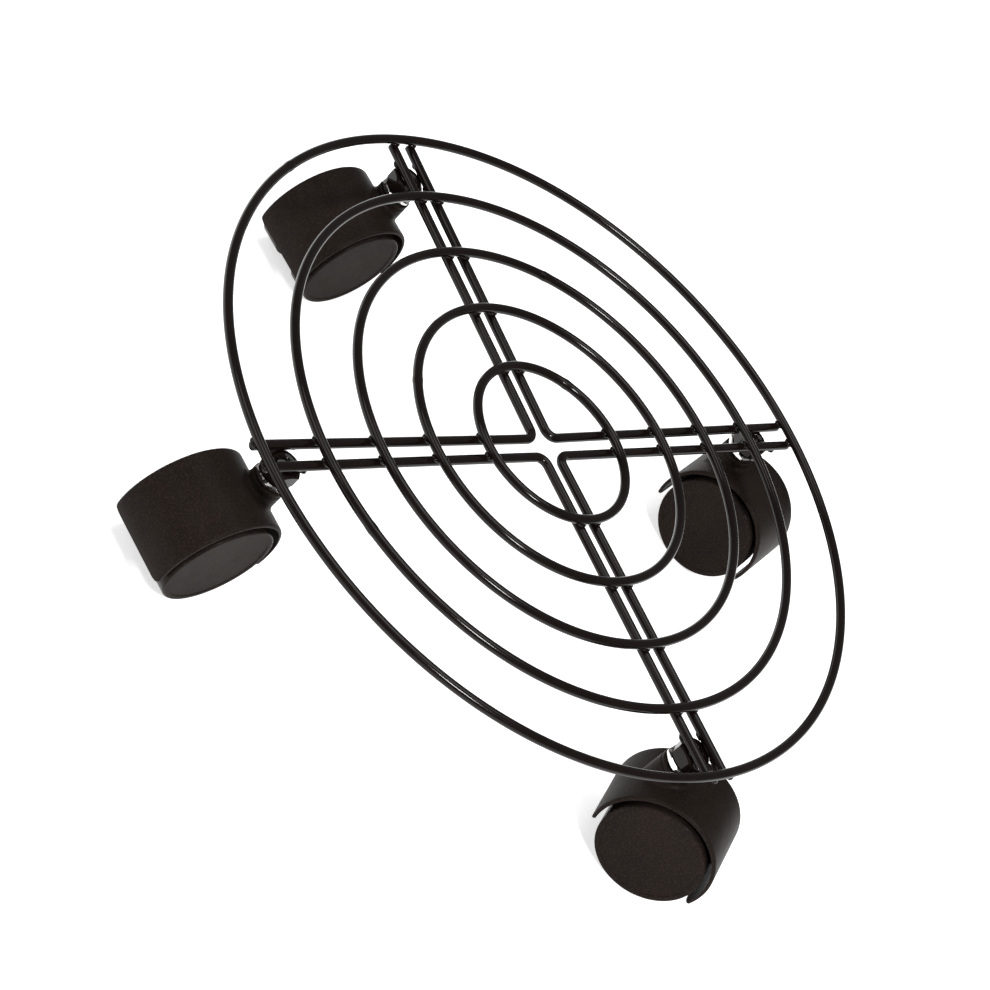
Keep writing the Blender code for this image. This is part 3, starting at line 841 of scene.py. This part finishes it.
def build_stems(legs, wire_z, wire_r):
    """Nuts, stems and washers, each of one mesh for all arms, and the nuts' welds."""
    swivels = {j["name"]: Vector(j["pos_m"]) for j in frame["joints"]}
    nut = stem = washer = None
    for arm in ARMS:
        place = swivels[f"swivel_{arm}"].copy()
        place.z = 0.0
        nut_turn = corner_turn(f"weld_nut_{arm}", place)
        collar_turn = corner_turn(f"stem_{arm}", place)
        nut_low, nut_high = local_box(f"weld_nut_{arm}", place, nut_turn)
        if nut is None:
            stem_low, stem_high = local_box(f"stem_{arm}", place, collar_turn)
            washer_low, washer_high = local_box(f"swivel_washer_{arm}", place, 0.0)
            nut = nut_mesh(nut_high.y, nut_high.z - nut_low.z, NUT_BORE_R)
            stem = stem_mesh(stem_high.z, stem_high.y, washer_high.z + COLLAR_TO_WASHER,
                             nut_low.z - COLLAR_TO_NUT, stem_low.z)
            washer = washer_mesh(washer_low.z, washer_high.z)
        nut_place = place + Vector((0, 0, (nut_high.z + nut_low.z) / 2))
        add_piece(f"weld_nut_{arm}_fine", nut, COATING, "frame", [f"weld_nut_{arm}"],
                  nut_place, nut_turn)
        add_piece(f"stem_{arm}_fine", stem, ZINC, "frame", [f"stem_{arm}"], place, collar_turn)
        add_piece(f"swivel_washer_{arm}_fine", washer, WASHER_PLASTIC, f"caster_{arm}",
                  [f"swivel_washer_{arm}"], place)
        welds = nut_welds_mesh(arm, legs[arm], wire_z, wire_r, place, nut_high.x)
        add_piece(f"nut_welds_{arm}", welds, COATING, "frame")


def build_casters():
    """Hoods and wheels, and better materials for the CAD's axles and grip rings."""
    joints = {j["name"]: j for j in frame["joints"]}
    hood = wheel = None
    for arm in ARMS:
        place = Vector(joints[f"swivel_{arm}"]["pos_m"])
        place.z = 0.0
        hub = Vector(joints[f"spin_{arm}_left"]["pos_m"])
        yaw = atan2(hub.y - place.y, hub.x - place.x)
        trail = sqrt((hub.x - place.x) ** 2 + (hub.y - place.y) ** 2)
        if hood is None:
            hood_high = local_box(f"hood_{arm}", place, yaw)[1]
            hood = hood_mesh(hood_high.y - SKIN, trail, hub.z, hood_high.z)
            low, high = local_box(f"wheel_{arm}_left", hub, yaw)
            axle_high = local_box(f"axle_{arm}", hub, yaw)[1]
            wheel = wheel_mesh(hub.z, high.y - SKIN, low.y, axle_high.y + AXLE_END_SLACK)
        # the turn goes into the mesh, so that the hood's own box is a true one
        turned = hood.copy()
        turned.transform(Matrix.Rotation(yaw, 4, "Z"))
        add_piece(f"hood_{arm}_fine", turned, NYLON, f"caster_{arm}", [f"hood_{arm}"], place)
        for side, turn in zip(WHEEL_SIDES, (0.0, pi)):
            name = f"wheel_{arm}_{side}"
            add_piece(name + "_fine", wheel, WHEEL_PLASTIC, name, [name], hub, yaw + turn)
        for node, material in ((f"axle_{arm}", ZINC), (f"grip_ring_{arm}", SPRING_STEEL)):
            frame["nodes"][node].data.materials.clear()
            frame["nodes"][node].data.materials.append(material)


# ---------------------------------------------------------------- camera, light and floor

def build_camera():
    data = bpy.data.cameras.new("camera")
    data.lens = CAMERA_LENS_MM
    data.sensor_width = CAMERA_SENSOR_MM
    camera = bpy.data.objects.new("camera", data)
    bpy.context.scene.collection.objects.link(camera)
    right, up = Vector(CAMERA_RIGHT), Vector(CAMERA_UP)
    back = right.cross(up)
    turn = Matrix((right, up, back)).transposed()
    camera.matrix_world = Matrix.Translation(CAMERA_PLACE) @ turn.to_4x4()
    bpy.context.scene.camera = camera


def add_lamp(name, place, size, power):
    data = bpy.data.lights.new(name, "AREA")
    data.shape = "DISK"
    data.size = size
    data.energy = power
    lamp = bpy.data.objects.new(name, data)
    bpy.context.scene.collection.objects.link(lamp)
    lamp.location = place
    lamp.rotation_euler = (Vector(LAMPS_AIM) - Vector(place)).to_track_quat("-Z", "Y").to_euler()


def build_stage():
    bm = bmesh.new()
    bmesh.ops.create_grid(bm, x_segments=1, y_segments=1, size=FLOOR_HALF)
    mesh = bpy.data.meshes.new("floor")
    bm.to_mesh(mesh)
    bm.free()
    floor = bpy.data.objects.new("floor", mesh)
    bpy.context.scene.collection.objects.link(floor)
    n = Nodes("floor_paint")
    speck = n.span(n.noise(40.0, 4.0), 0.3, 0.7, 0.0, 1.0)
    n.set(Base_Color=n.mix(speck, FLOOR_DARK, FLOOR_LIGHT), Roughness=0.9)
    # a light table: its own glow thins the shadows
    n.set(Emission_Color=WHITE, Emission_Strength=FLOOR_GLOW)
    mesh.materials.append(n.material)
    world = bpy.data.worlds.new("studio")
    world.use_nodes = True
    world.node_tree.nodes["Background"].inputs["Color"].default_value = WHITE
    world.node_tree.nodes["Background"].inputs["Strength"].default_value = WORLD_STRENGTH
    bpy.context.scene.world = world
    for lamp in LAMPS:
        add_lamp(*lamp)
    # the standard view keeps the pale floor white and the black pieces dark
    bpy.context.scene.view_settings.view_transform = "Standard"


build_stems(*build_frame())
build_casters()
build_camera()
build_stage()
